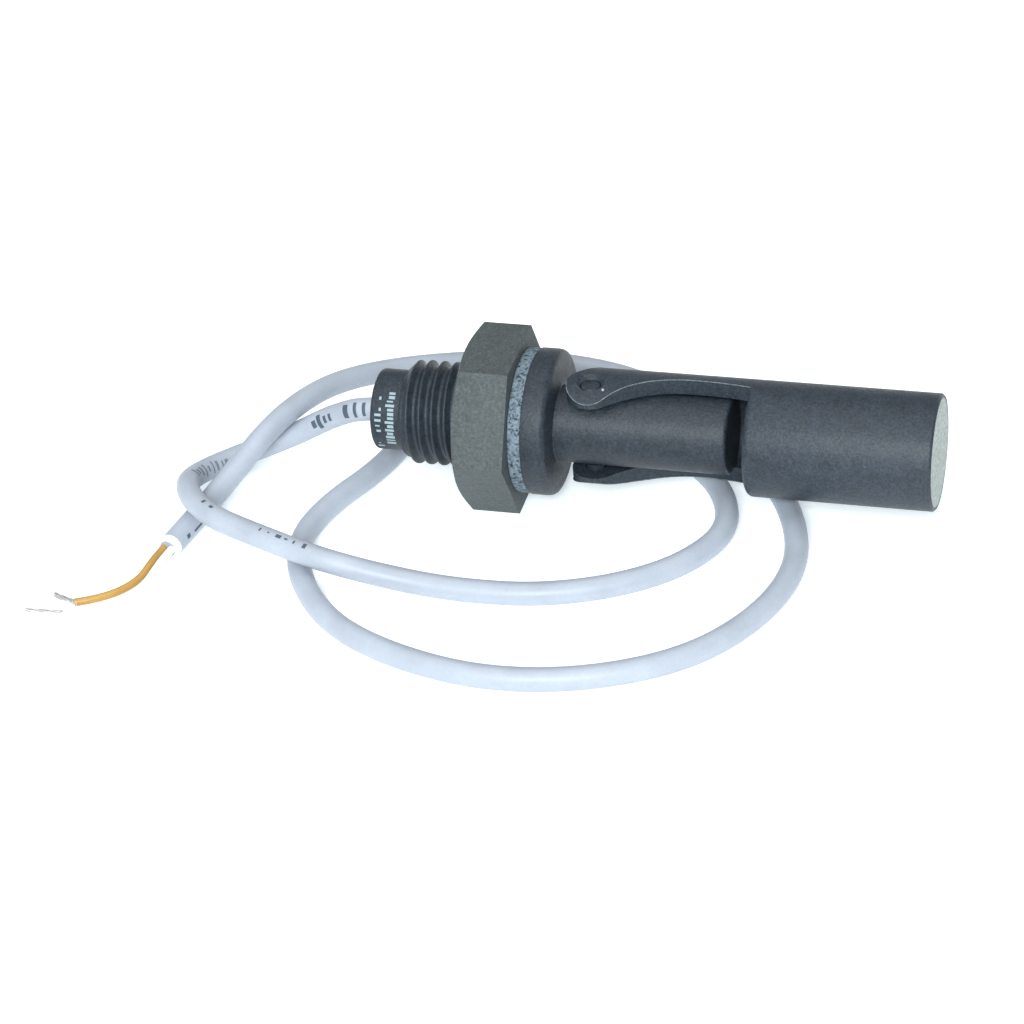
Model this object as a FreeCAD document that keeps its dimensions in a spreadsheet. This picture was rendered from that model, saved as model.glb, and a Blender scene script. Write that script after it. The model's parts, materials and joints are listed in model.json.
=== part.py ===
import FreeCAD, Part
import math
import os
import Sketcher

# Side-mounted float level switch. Frame: origin on the stem's axis at the flange's seat face, +X towards
# the float, +Z up. It lies on a flat of its nut, with the hinge's axis upright and the cable on the floor.

SIZES = {
    # threaded housing
    "thread_diameter": 16.0,
    "shank_length": 25.0,
    "plain_end_length": 4.7,
    "plain_end_diameter": 12.4,
    "plain_edge_bevel": 0.5,
    "thread_edge_bevel": 0.4,
    "chamber_diameter": 8.4,
    "chamber_floor": 6.0,
    "flange_diameter": 22.4,
    "flange_thickness": 3.7,
    "flange_edge_bevel": 0.7,
    "stem_diameter": 11.8,
    "stem_length": 30.2,
    "stem_tip_wall": 2.0,
    "stem_tip_round": 0.7,
    "reed_bore_diameter": 6.4,
    # nut and washer
    "nut_flats": 25.0,
    "nut_thickness": 8.3,
    "nut_bevel_drop": 0.9,
    "nut_face_step": 0.1,
    "nut_clearance": 0.05,
    "washer_diameter": 22.2,
    "washer_thickness": 2.0,
    "washer_clearance": 0.15,
    # hinge
    "pivot_from_seat": 9.1,
    "pivot_offset": 1.6,
    "pin_diameter": 3.0,
    "pin_span": 16.6,
    "pin_clearance": 0.1,
    "pin_sink_diameter": 4.6,
    "pin_sink_depth": 0.7,
    "knuckle_radius": 3.65,
    "heel_angle": 38.0,
    "swing_angle": 40.0,
    # float
    "float_diameter": 17.6,
    "float_length": 28.2,
    "float_gap": 2.9,
    "float_face_wall": 1.6,
    "float_wall": 1.4,
    "arm_clearance": 0.35,
    "rim_height": 1.1,
    "rim_sweep": 15.5,
    "rim_drop": 0.8,
    "cap_thickness": 1.8,
    "cap_edge_wall": 0.6,
    "cap_edge_bevel": 0.3,
    # magnet
    "magnet_diameter": 5.0,
    "magnet_length": 6.0,
    "holder_wall": 1.2,
    "holder_flange": 1.5,
    # reed switch
    "glass_diameter": 2.3,
    "glass_length": 14.0,
    "glass_wall": 0.35,
    "glass_seal": 1.6,
    "reed_end_gap": 0.5,
    "lead_diameter": 0.6,
    "lead_reach": 1.9,
    "blade_width": 1.0,
    "blade_thickness": 0.25,
    "blade_overlap": 1.0,
    "blade_gap": 0.12,
    "carrier_overhang": 0.5,
    "carrier_clearance": 0.05,
    # cable
    "cable_diameter": 3.6,
    "core_diameter": 1.2,
    "core_spacing": 1.3,
    "conductor_diameter": 0.8,
    "core_exit": 3.5,
    "sheath_inset": 5.0,
    "potting_recess": 0.6,
    "potting_cover": 2.0,
    "return_core_drop": 2.2,
    "joint_length": 3.0,
    "joint_diameter": 1.5,
    "joint_gap": 0.1,
    "joint_round": 0.45,
    "sleeve_wall": 0.25,
    # how far a cut's outline runs past what it cuts
    "cut_margin": 1.0,
}

# Places that follow from the sizes, as formulas of the same sheet.
LINKS = {
    "shank_end": "-shank_length",
    "shoulder": "plain_end_length - shank_length",
    "potting_mouth": "potting_recess - shank_length",
    "sheath_end": "potting_mouth + sheath_inset",
    "nut_seat": "-washer_thickness",
    "nut_face": "-washer_thickness - nut_thickness",
    "bore_end": "stem_length - stem_tip_wall",
    "far_lead_end": "bore_end - reed_end_gap",
    "glass_end": "far_lead_end - lead_reach",
    "glass_start": "glass_end - glass_length",
    "near_lead_end": "glass_start - lead_reach",
    "carrier_start": "glass_start - carrier_overhang",
    "carrier_end": "glass_end + carrier_overhang",
    "near_joint_start": "carrier_start - joint_gap - joint_length",
    "channel_radius": "stem_diameter / 2 + arm_clearance",
    "knuckle_back": "pivot_from_seat - knuckle_radius - cut_margin",
    "float_front": "stem_length + float_gap",
    "float_inside": "float_front + float_face_wall",
    "float_end": "float_front + float_length",
    "cap_ledge": "float_end - cap_thickness",
    "cap_radius": "float_diameter / 2 - cap_edge_wall",
    "cavity_radius": "float_diameter / 2 - float_wall",
}

# The free cable's route from inside the resin: out along the axis, down to the floor, back under itself in
# a small turn, once round under the stem, once wider round under the float, then over its own start.
CABLE_ROUTE = [
    (-27.4, 0.0, 0.0), (-34.2, 2.9, -4.1), (-41.2, 3.3, -8.6), (-49.1, -1.1, -10.4), (-53.4, -8.4, -9.2),
    (-52.7, -15.9, -6.6), (-46.9, -23.1, -6.1), (-37.2, -27.0, -6.4), (-25.9, -31.4, -6.5),
    (-15.2, -29.9, -9.9), (-4.9, -30.2, -10.7), (6.8, -29.6, -10.7), (17.9, -25.5, -10.7),
    (26.4, -18.8, -10.7), (31.1, -9.4, -10.7), (28.3, 0.8, -10.7), (21.0, 9.1, -10.7), (11.7, 17.0, -10.7),
    (2.0, 24.3, -10.7), (-9.3, 27.0, -10.7), (-19.1, 21.4, -10.7), (-23.7, 10.1, -10.7),
    (-26.0, -1.1, -10.7), (-31.3, -11.9, -10.7), (-32.9, -22.2, -10.7), (-28.9, -32.5, -10.7),
    (-21.0, -41.8, -10.7), (-9.3, -47.6, -10.7), (4.4, -50.4, -10.7), (18.6, -48.2, -10.7),
    (31.8, -41.2, -10.7), (39.9, -29.8, -10.7), (43.1, -16.7, -10.7), (39.7, -3.2, -10.7),
    (32.3, 8.6, -10.7), (22.0, 20.4, -10.7), (9.3, 29.5, -10.7), (-4.9, 33.0, -10.7), (-19.6, 31.4, -10.7),
    (-31.0, 25.7, -9.4), (-37.5, 15.9, -6.2), (-40.5, 5.8, -3.9), (-43.6, -2.0, -4.6), (-47.9, -9.3, -9.1),
    (-50.5, -17.7, -10.7), (-52.1, -26.6, -10.7),
]
# The stripped cores, from where they have left the sheath to where their insulation stops, and the ends of
# their bare strands.
BROWN_ROUTE = [(-54.4, -33.9, -11.9), (-58.1, -38.7, -11.9), (-62.2, -40.4, -11.9)]
BROWN_TIP = (-65.9, -39.1, -11.9)
WHITE_ROUTE = [(-53.1, -35.7, -11.9), (-57.5, -41.4, -11.9), (-62.8, -43.2, -11.9)]
WHITE_TIP = (-68.9, -43.6, -11.9)

doc = FreeCAD.newDocument("float_level_switch")
sheet = doc.addObject("Spreadsheet::Sheet", "Sizes")
links = {alias: "=" + formula for alias, formula in LINKS.items()}
for row, (alias, content) in enumerate({**SIZES, **links}.items(), start=1):
    sheet.set(f"A{row}", alias.replace("_", " "))
    sheet.set(f"B{row}", str(content))
    sheet.setAlias(f"B{row}", alias)
doc.recompute()

sub_parts = []


def size(expression):
    """The number that an expression of the sheet's aliases stands for."""
    value = sheet.evalExpression(expression)
    return float(getattr(value, "Value", value))


def new_body(label):
    body = doc.addObject("PartDesign::Body", "Body_" + label)
    body.Label = label
    sub_parts.append(body)
    return body


def origin_plane(body, role):
    return next(part for part in body.Origin.OriginFeatures if part.Role == role)


def new_sketch(body, name, role, offset=None):
    """A sketch on one of the body's own origin planes, lifted off it by an expression."""
    sketch = body.newObject("Sketcher::SketchObject", name)
    sketch.AttachmentSupport = [(origin_plane(body, role), "")]
    sketch.MapMode = "FlatFace"
    if offset:
        sketch.setExpression("AttachmentOffset.Base.z", offset)
    return sketch


def pin_point(sketch, geometry, end, across, along):
    """Hold one end of a piece of geometry at a place given by two expressions."""
    for kind, expression in (("DistanceX", across), ("DistanceY", along)):
        number = sketch.addConstraint(Sketcher.Constraint(kind, geometry, end, size(expression)))
        sketch.setExpression(f"Constraints[{number}]", expression)


def draw_outline(sketch, corners, arcs=None):
    """A closed outline of pinned corners. arcs gives, for the side that starts at a corner, its radius and
    its sense: +1 runs anticlockwise from that corner to the next."""
    arcs = arcs or {}
    places = [FreeCAD.Vector(size(across), size(along), 0) for across, along in corners]
    sides = []
    for index, start in enumerate(places):
        finish = places[(index + 1) % len(places)]
        if index not in arcs:
            sides.append((sketch.addGeometry(Part.LineSegment(start, finish), False), 1, 2))
            continue
        radius_expression, sense = arcs[index]
        radius = size(radius_expression)
        half = (finish - start) * 0.5
        rise = math.sqrt(max(radius ** 2 - half.Length ** 2, 0.0))
        side = FreeCAD.Vector(-half.y, half.x, 0).normalize() * rise * sense
        centre = start + half + side
        first, last = (start, finish) if sense > 0 else (finish, start)
        angles = [math.atan2(place.y - centre.y, place.x - centre.x) for place in (first, last)]
        if angles[1] < angles[0]:
            angles[1] += 2 * math.pi
        circle = Part.Circle(centre, FreeCAD.Vector(0, 0, 1), radius)
        geometry = sketch.addGeometry(Part.ArcOfCircle(circle, *angles), False)
        number = sketch.addConstraint(Sketcher.Constraint("Radius", geometry, radius))
        sketch.setExpression(f"Constraints[{number}]", radius_expression)
        sides.append((geometry, 1, 2) if sense > 0 else (geometry, 2, 1))
    for index, (geometry, start_end, _) in enumerate(sides):
        before, _, before_end = sides[index - 1]
        sketch.addConstraint(Sketcher.Constraint("Coincident", before, before_end, geometry, start_end))
        pin_point(sketch, geometry, start_end, *corners[index])


def draw_circle(sketch, across, along, radius):
    centre = FreeCAD.Vector(size(across), size(along), 0)
    circle = Part.Circle(centre, FreeCAD.Vector(0, 0, 1), size(radius))
    geometry = sketch.addGeometry(circle, False)
    number = sketch.addConstraint(Sketcher.Constraint("Radius", geometry, size(radius)))
    sketch.setExpression(f"Constraints[{number}]", radius)
    pin_point(sketch, geometry, 3, across, along)


def revolve(body, name, corners, arcs=None):
    """A solid of revolution about the stem's axis. Corners are (place along X, radius)."""
    sketch = new_sketch(body, name + "_profile", "XY_Plane")
    draw_outline(sketch, corners, arcs)
    feature = body.newObject("PartDesign::Revolution", name)
    feature.Profile = sketch
    feature.ReferenceAxis = (sketch, ["H_Axis"])
    feature.Angle = 360.0
    doc.recompute()
    return feature


def cut_through(body, name, draw, role="XY_Plane", depth=None):
    """A pocket cut both ways from an origin plane: right through, or to a total depth."""
    before = body.Shape.Volume
    sketch = new_sketch(body, name + "_outline", role)
    draw(sketch)
    feature = body.newObject("PartDesign::Pocket", name)
    feature.Profile = sketch
    feature.Midplane = True
    if depth:
        feature.Type = "Length"
        feature.setExpression("Length", depth)
    else:
        feature.Type = "ThroughAll"
    doc.recompute()
    if body.Shape.Volume >= before:
        raise RuntimeError(name + " cut nothing")
    return feature


def shape_part(label, shape):
    """A sub-part whose shape comes from Part's own functions."""
    part = doc.addObject("Part::Feature", "Part_" + label)
    part.Label = label
    part.Shape = shape
    part.Placement = FreeCAD.Placement()
    sub_parts.append(part)
    return part


def tube_path(points):
    """Straight runs joined by tangent arcs, each as large as its two runs allow."""
    places = [FreeCAD.Vector(*point) for point in points]
    edges = []
    radii = []
    start = places[0]
    for before, corner, after in zip(places, places[1:], places[2:]):
        arrive = corner - before
        leave = after - corner
        reach = 0.45 * min(arrive.Length, leave.Length)
        half_turn = arrive.getAngle(leave) / 2
        radius = reach / math.tan(half_turn)
        arrive.normalize()
        leave.normalize()
        arc_start = corner - arrive * reach
        arc_end = corner + leave * reach
        inward = (leave - arrive).normalize()
        middle = corner + inward * (radius / math.cos(half_turn) - radius)
        edges.append(Part.LineSegment(start, arc_start).toShape())
        edges.append(Part.Arc(arc_start, middle, arc_end).toShape())
        radii.append(radius)
        start = arc_end
    edges.append(Part.LineSegment(start, places[-1]).toShape())
    return Part.Wire(edges), radii


def tube(label, points, diameter):
    """A round solid of one diameter along a route, checked against its section times its length."""
    path, radii = tube_path(points)
    start = FreeCAD.Vector(*points[0])
    heading = FreeCAD.Vector(*points[1]) - start
    ring = Part.Wire(Part.Circle(start, heading, diameter / 2).toShape())
    solid = path.makePipeShell([ring], True, True)
    expected = math.pi * diameter ** 2 / 4 * path.Length
    tightest = min(radii) if radii else 0.0
    print(f"{label}: length {path.Length:.1f}, tightest radius {tightest:.1f}, volume against section "
          f"times length {solid.Volume / expected:.4f}")
    print("  radii", " ".join(f"{radius:.1f}" for radius in radii))
    return shape_part(label, solid)


def make_switch_body():
    """One moulding: plain cable end, shank, flange, closed stem tube and the hinge's two pins."""
    body = new_body("switch_body")
    tail = "Sizes.shank_end"
    shoulder = "Sizes.shoulder"
    plain_bevel = "Sizes.plain_edge_bevel"
    thread_bevel = "Sizes.thread_edge_bevel"
    flange = "Sizes.flange_thickness"
    flange_bevel = "Sizes.flange_edge_bevel"
    thread = "Sizes.thread_diameter / 2"
    plain = "Sizes.plain_end_diameter / 2"
    stem = "Sizes.stem_diameter / 2"
    tip = "Sizes.stem_length"
    tip_round = "Sizes.stem_tip_round"
    chamber = "Sizes.chamber_diameter / 2"
    reed_bore = "Sizes.reed_bore_diameter / 2"
    corners = [
        (tail, chamber), (tail, f"{plain} - {plain_bevel}"), (f"{tail} + {plain_bevel}", plain),
        (shoulder, plain), (shoulder, f"{thread} - {thread_bevel}"), (f"{shoulder} + {thread_bevel}", thread),
        ("0", thread), ("0", "Sizes.flange_diameter / 2"),
        (f"{flange} - {flange_bevel}", "Sizes.flange_diameter / 2"),
        (flange, f"Sizes.flange_diameter / 2 - {flange_bevel}"), (flange, stem),
        (f"{tip} - {tip_round}", stem), (tip, f"{stem} - {tip_round}"), (tip, "0"),
        ("Sizes.bore_end", "0"), ("Sizes.bore_end", reed_bore),
        ("-Sizes.chamber_floor", reed_bore), ("-Sizes.chamber_floor", chamber),
    ]
    revolve(body, "moulding", corners, {11: (tip_round, -1)})
    sketch = new_sketch(body, "pins_outline", "XY_Plane")
    draw_circle(sketch, "Sizes.pivot_from_seat", "-Sizes.pivot_offset", "Sizes.pin_diameter / 2")
    pins = body.newObject("PartDesign::Pad", "pins")
    pins.Profile = sketch
    pins.Midplane = True
    pins.setExpression("Length", "Sizes.pin_span")
    doc.recompute()
    # the pad runs through the reed's bore, so the bore is cut again
    sketch = new_sketch(body, "bore_profile", "XY_Plane")
    draw_outline(sketch, [("-Sizes.chamber_floor", "0"), ("Sizes.bore_end", "0"),
                          ("Sizes.bore_end", reed_bore), ("-Sizes.chamber_floor", reed_bore)])
    bore = body.newObject("PartDesign::Groove", "bore")
    bore.Profile = sketch
    bore.ReferenceAxis = (sketch, ["H_Axis"])
    bore.Angle = 360.0
    doc.recompute()


def make_hex_nut():
    body = new_body("hex_nut")
    sketch = new_sketch(body, "hexagon", "YZ_Plane", "Sizes.nut_seat")
    half = "Sizes.nut_flats / 2"
    corner = "Sizes.nut_flats / sqrt(3)"
    draw_outline(sketch, [(corner, "0"), (f"{corner} / 2", half), (f"-{corner} / 2", half),
                          (f"-{corner}", "0"), (f"-{corner} / 2", f"-{half}"), (f"{corner} / 2", f"-{half}")])
    pad = body.newObject("PartDesign::Pad", "blank")
    pad.Profile = sketch
    pad.Reversed = True
    pad.setExpression("Length", "Sizes.nut_thickness")
    doc.recompute()
    volume = body.Shape.Volume
    # the face towards the cable is turned, which bevels the corners; the washer's side is left square
    face = "Sizes.nut_face"
    bevel_end = f"{face} + Sizes.nut_bevel_drop"
    outside = f"{corner} + Sizes.cut_margin"
    sketch = new_sketch(body, "bevel_profile", "XY_Plane")
    draw_outline(sketch, [(face, f"{half} - Sizes.nut_face_step"), (bevel_end, corner), (bevel_end, outside),
                          (face, outside)])
    groove = body.newObject("PartDesign::Groove", "corner_bevel")
    groove.Profile = sketch
    groove.ReferenceAxis = (sketch, ["H_Axis"])
    groove.Angle = 360.0
    doc.recompute()
    if body.Shape.Volume >= volume:
        raise RuntimeError("the nut's bevel cut nothing")
    cut_through(body, "nut_bore", lambda outline: draw_circle(
        outline, "0", "0", "Sizes.thread_diameter / 2 + Sizes.nut_clearance"), "YZ_Plane")


def make_sealing_washer():
    body = new_body("sealing_washer")
    inner = "Sizes.thread_diameter / 2 + Sizes.washer_clearance"
    outer = "Sizes.washer_diameter / 2"
    seat = "Sizes.nut_seat"
    revolve(body, "washer", [(seat, inner), (seat, outer), ("0", outer), ("0", inner)])


def draw_arm_notch(sketch):
    """What is cut from the tube on the stem's open side, seen along the hinge: the area outside the
    knuckle's round lobe, the sweep up to the rim, the rim's slow fall to the float and the slanted heel."""
    pivot_x = "Sizes.pivot_from_seat"
    pivot_y = "-Sizes.pivot_offset"
    knuckle = "Sizes.knuckle_radius"
    rim = "Sizes.rim_height"
    rise = "(Sizes.rim_height + Sizes.pivot_offset)"
    sweep_end = "(Sizes.pivot_from_seat + Sizes.rim_sweep)"
    sweep_radius = f"((Sizes.rim_sweep ^ 2 + {rise} ^ 2 - {knuckle} ^ 2) / (2 * ({knuckle} + {rise})))"
    share = f"({knuckle} / ({knuckle} + {sweep_radius}))"
    touch_x = f"{pivot_x} + Sizes.rim_sweep * {share}"
    touch_y = f"{pivot_y} + ({rise} - {sweep_radius}) * {share}"
    heel = "Sizes.heel_angle * 1deg"
    heel_x = f"{pivot_x} - {knuckle} * cos({heel})"
    heel_y = f"{pivot_y} + {knuckle} * sin({heel})"
    outside = "(Sizes.float_diameter / 2 + Sizes.cut_margin)"
    front = "Sizes.float_front"
    fall_length = f"({front} - {sweep_end})"
    fall_radius = f"(({fall_length} ^ 2 + Sizes.rim_drop ^ 2) / (2 * Sizes.rim_drop))"
    back = "(Sizes.knuckle_back - Sizes.cut_margin)"
    corners = [
        (front, f"-{outside}"), (front, f"{rim} - Sizes.rim_drop"), (sweep_end, rim), (touch_x, touch_y),
        (heel_x, heel_y),
        (f"{heel_x} + ({outside} - ({heel_y})) * tan({heel})", outside),
        (back, outside), (back, f"-{outside}"),
    ]
    draw_outline(sketch, corners, {1: (fall_radius, 1), 2: (sweep_radius, 1), 3: (knuckle, -1)})


def make_float_shell():
    """One moulding: two knuckles, the half-round arm and the hollow float."""
    body = new_body("float_shell")
    outer = "Sizes.float_diameter / 2"
    margin = "Sizes.cut_margin"
    channel = "Sizes.channel_radius"
    start = "Sizes.knuckle_back"
    front = "Sizes.float_front"
    end = "Sizes.float_end"
    cavity = "Sizes.cavity_radius"
    recess = "Sizes.cap_radius"
    ledge = "Sizes.cap_ledge"
    inside = "Sizes.float_inside"
    bevel = "Sizes.cap_edge_bevel"
    revolve(body, "tube", [
        (start, channel), (start, outer), (f"{end} - {bevel}", outer), (end, f"{outer} - {bevel}"),
        (end, recess), (ledge, recess), (ledge, cavity), (inside, cavity), (inside, "0"), (front, "0"),
        (front, channel)])
    cut_through(body, "arm_notch", draw_arm_notch)
    # between the knuckles the channel has straight sides, so that the arm can swing off the stem
    cut_through(body, "knuckle_slot", lambda outline: draw_outline(outline, [
        (start, f"-{outer} - {margin}"), (front, f"-{outer} - {margin}"), (front, "0"), (start, "0")]),
        depth=f"2 * {channel}")
    # the heel is hollowed to the stem's own round at the far end of the swing
    swing = "Sizes.swing_angle * 1deg"
    pivot_x = "Sizes.pivot_from_seat"
    pivot_y = "-Sizes.pivot_offset"
    back = f"(Sizes.pivot_from_seat + {margin})"
    along = {}
    for name, reach, side in (("near_axis", "0", "0"), ("far_axis", back, "0"),
                              ("far_edge", back, channel), ("near_edge", "0", channel)):
        # a point of the swung stem: back from the pivot towards the flange, and out from its axis
        right = f"(-({reach}))"
        up = f"(Sizes.pivot_offset + ({side}))"
        along[name] = (f"{pivot_x} + {right} * cos({swing}) + {up} * sin({swing})",
                       f"{pivot_y} - {right} * sin({swing}) + {up} * cos({swing})")
    sketch = new_sketch(body, "heel_profile", "XY_Plane")
    draw_outline(sketch, [along[name] for name in ("near_axis", "far_axis", "far_edge", "near_edge")])
    line = sketch.addGeometry(Part.LineSegment(
        FreeCAD.Vector(size(along["near_axis"][0]), size(along["near_axis"][1]), 0),
        FreeCAD.Vector(size(along["far_axis"][0]), size(along["far_axis"][1]), 0)), True)
    sketch.addConstraint(Sketcher.Constraint("Coincident", line, 1, 0, 1))
    sketch.addConstraint(Sketcher.Constraint("Coincident", line, 2, 0, 2))
    before = body.Shape.Volume
    relief = body.newObject("PartDesign::Groove", "heel_relief")
    relief.Profile = sketch
    relief.ReferenceAxis = (sketch, ["Axis0"])
    relief.Angle = 360.0
    doc.recompute()
    if body.Shape.Volume >= before:
        raise RuntimeError("the heel's relief cut nothing")
    cut_through(body, "pin_holes", lambda outline: draw_circle(
        outline, pivot_x, pivot_y, "Sizes.pin_diameter / 2 + Sizes.pin_clearance"))
    # a round sink in each knuckle shows the pin's end
    for name, top in (("upper_sink", "1"), ("lower_sink", "-1")):
        before = body.Shape.Volume
        sketch = new_sketch(body, name + "_profile", "XZ_Plane", "Sizes.pivot_offset")
        sink = f"{top} * ({outer} - Sizes.pin_sink_depth)"
        draw_outline(sketch, [(pivot_x, sink), (f"{pivot_x} + Sizes.pin_diameter / 2", sink),
                              (f"{pivot_x} + Sizes.pin_sink_diameter / 2", f"{top} * {outer}"),
                              (pivot_x, f"{top} * {outer}")])
        axis = sketch.addGeometry(Part.LineSegment(
            FreeCAD.Vector(size(pivot_x), size(sink), 0),
            FreeCAD.Vector(size(pivot_x), size(f"{top} * {outer}"), 0)), True)
        sketch.addConstraint(Sketcher.Constraint("Coincident", axis, 1, 0, 1))
        sketch.addConstraint(Sketcher.Constraint("Coincident", axis, 2, 3, 1))
        groove = body.newObject("PartDesign::Groove", name)
        groove.Profile = sketch
        groove.ReferenceAxis = (sketch, ["Axis0"])
        groove.Angle = 360.0
        doc.recompute()
        if body.Shape.Volume >= before:
            raise RuntimeError(name + " cut nothing")


def make_float_end_cap():
    body = new_body("float_end_cap")
    rim = "Sizes.cap_radius"
    revolve(body, "disc", [("Sizes.cap_ledge", "0"), ("Sizes.cap_ledge", rim), ("Sizes.float_end", rim),
                           ("Sizes.float_end", "0")])


def make_magnet_parts():
    inside = "Sizes.float_inside"
    radius = "Sizes.magnet_diameter / 2"
    cavity = "Sizes.cavity_radius"
    magnet_end = f"{inside} + Sizes.magnet_length"
    magnet = new_body("float_magnet")
    revolve(magnet, "rod", [(inside, "0"), (inside, radius), (magnet_end, radius), (magnet_end, "0")])
    holder = new_body("magnet_holder")
    hub = f"{radius} + Sizes.holder_wall"
    flange_end = f"{inside} + Sizes.holder_flange"
    revolve(holder, "cup", [(inside, radius), (inside, cavity), (flange_end, cavity), (flange_end, hub),
                            (magnet_end, hub), (magnet_end, radius)])


def make_reed_switch():
    """Glass tube with sealed ends and the two blades, whose round leads pass through the seals."""
    start = "Sizes.glass_start"
    end = "Sizes.glass_end"
    outer = "Sizes.glass_diameter / 2"
    inner = "Sizes.glass_diameter / 2 - Sizes.glass_wall"
    lead = "Sizes.lead_diameter / 2"
    seal = "Sizes.glass_seal"
    glass = new_body("reed_glass")
    near_seal = f"({start} + {seal})"
    far_seal = f"({end} - {seal})"
    revolve(glass, "tube", [(start, lead), (start, outer), (end, outer), (end, lead), (far_seal, lead),
                            (far_seal, inner), (near_seal, inner), (near_seal, lead)])
    middle = f"({start} + Sizes.glass_length / 2)"
    half_lap = "Sizes.blade_overlap / 2"
    for label, lead_start, seal_end, tip, side in (
            ("reed_blade_near", "Sizes.near_lead_end", near_seal, f"({middle} + {half_lap})", "1"),
            ("reed_blade_far", "Sizes.far_lead_end", far_seal, f"({middle} - {half_lap})", "-1")):
        blade = new_body(label)
        revolve(blade, "lead", [(lead_start, "0"), (lead_start, lead), (seal_end, lead), (seal_end, "0")])
        sketch = new_sketch(blade, "blade_outline", "XZ_Plane")
        near = f"{side} * Sizes.blade_gap / 2"
        far = f"{side} * (Sizes.blade_gap / 2 + Sizes.blade_thickness)"
        draw_outline(sketch, [(seal_end, near), (tip, near), (tip, far), (seal_end, far)])
        pad = blade.newObject("PartDesign::Pad", "blade")
        pad.Profile = sketch
        pad.Midplane = True
        pad.setExpression("Length", "Sizes.blade_width")
        doc.recompute()


def make_reed_carrier():
    """The sleeve that centres the glass, with a second hole for the core that returns past it."""
    carrier = new_body("reed_carrier")
    start = "Sizes.carrier_start"
    end = "Sizes.carrier_end"
    outer = "Sizes.reed_bore_diameter / 2"
    bore = "Sizes.glass_diameter / 2 + Sizes.carrier_clearance"
    revolve(carrier, "sleeve", [(start, bore), (start, outer), (end, outer), (end, bore)])
    cut_through(carrier, "core_hole", lambda outline: draw_circle(
        outline, "0", "-Sizes.return_core_drop", "Sizes.core_diameter / 2 + Sizes.carrier_clearance"),
        "YZ_Plane")


def make_inner_wiring():
    """Both cores from the sheath's end to their joints, the joints and the near one's shrink sleeve."""
    core = size("Sizes.core_diameter")
    half_spacing = size("Sizes.core_spacing / 2")
    drop = size("Sizes.return_core_drop")
    begin = size("Sizes.sheath_end")
    lead_near = size("Sizes.near_lead_end")
    lead_far = size("Sizes.far_lead_end")
    joint = size("Sizes.joint_length")
    joint_radius = size("Sizes.joint_diameter / 2")
    wall = size("Sizes.sleeve_wall")
    along_x = FreeCAD.Vector(1, 0, 0)
    joint_start = size("Sizes.near_joint_start")
    brown = Part.makeCylinder(core / 2, joint_start - begin, FreeCAD.Vector(begin, 0, half_spacing), along_x)
    shape_part("brown_core_inner", brown)
    bead_place = FreeCAD.Vector(joint_start, 0, half_spacing / 2)
    bead = Part.makeCylinder(joint_radius, joint, bead_place, along_x)
    lead_radius = size("Sizes.lead_diameter / 2")
    lead = Part.makeCylinder(lead_radius, joint, FreeCAD.Vector(lead_near, 0, 0), along_x)
    shape_part("solder_joint_near", bead.cut(lead))
    outer = Part.makeCylinder(joint_radius + wall, joint, bead_place, along_x)
    shape_part("near_joint_sleeve", outer.cut(bead))
    far_start = size("Sizes.carrier_end")
    slope_start = -size("Sizes.chamber_floor")
    tube("white_core_inner", [(begin, 0, -half_spacing), (slope_start, 0, -half_spacing),
                              (lead_near - joint, 0, -drop), (far_start, 0, -drop)], core)
    bridge = Part.makeBox(lead_far - far_start, core, drop + core,
                          FreeCAD.Vector(far_start, -core / 2, -drop - core / 2))
    far_lead = Part.makeCylinder(lead_radius, lead_far - far_start, FreeCAD.Vector(far_start, 0, 0), along_x)
    upright = [edge for edge in bridge.Edges if abs(edge.tangentAt(edge.FirstParameter).x) > 0.99]
    shape_part("solder_joint_far", bridge.makeFillet(size("Sizes.joint_round"), upright).cut(far_lead))


def make_potting_plug():
    """The resin that fills the cable end round the sheath and the two cores."""
    mouth = size("Sizes.potting_mouth")
    cover = size("Sizes.potting_cover")
    begin = size("Sizes.sheath_end")
    along_x = FreeCAD.Vector(1, 0, 0)
    plug = Part.makeCylinder(size("Sizes.chamber_diameter / 2"), begin + cover - mouth,
                             FreeCAD.Vector(mouth, 0, 0), along_x)
    sheath = Part.makeCylinder(size("Sizes.cable_diameter / 2"), begin - mouth,
                               FreeCAD.Vector(mouth, 0, 0), along_x)
    plug = plug.cut(sheath)
    half_spacing = size("Sizes.core_spacing / 2")
    for height in (half_spacing, -half_spacing):
        core = Part.makeCylinder(size("Sizes.core_diameter / 2"), cover,
                                 FreeCAD.Vector(begin, 0, height), along_x)
        plug = plug.cut(core)
    shape_part("potting_plug", plug)


def make_cable():
    """The free sheath, its two stripped cores side by side and their tinned ends."""
    diameter = size("Sizes.cable_diameter")
    core = size("Sizes.core_diameter")
    conductor = size("Sizes.conductor_diameter")
    # the sheath's first run starts inside the resin
    tube("cable_sheath", [(size("Sizes.sheath_end"), 0.0, 0.0)] + CABLE_ROUTE, diameter)
    last = FreeCAD.Vector(*CABLE_ROUTE[-1])
    heading = (last - FreeCAD.Vector(*CABLE_ROUTE[-2])).normalize()
    across = heading.cross(FreeCAD.Vector(0, 0, 1)).normalize() * size("Sizes.core_spacing / 2")
    for colour, side, route, tip in (("brown", 1, BROWN_ROUTE, BROWN_TIP),
                                     ("white", -1, WHITE_ROUTE, WHITE_TIP)):
        start = last + across * side
        clear = start + heading * size("Sizes.core_exit")
        covered = tube(colour + "_core", [tuple(start), tuple(clear)] + route, core)
        end = FreeCAD.Vector(*route[-1])
        strand = FreeCAD.Vector(*tip) - end
        bare = Part.makeCylinder(conductor / 2, strand.Length, end, strand)
        shape_part(colour + "_core_tip", bare.cut(covered.Shape))


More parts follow.
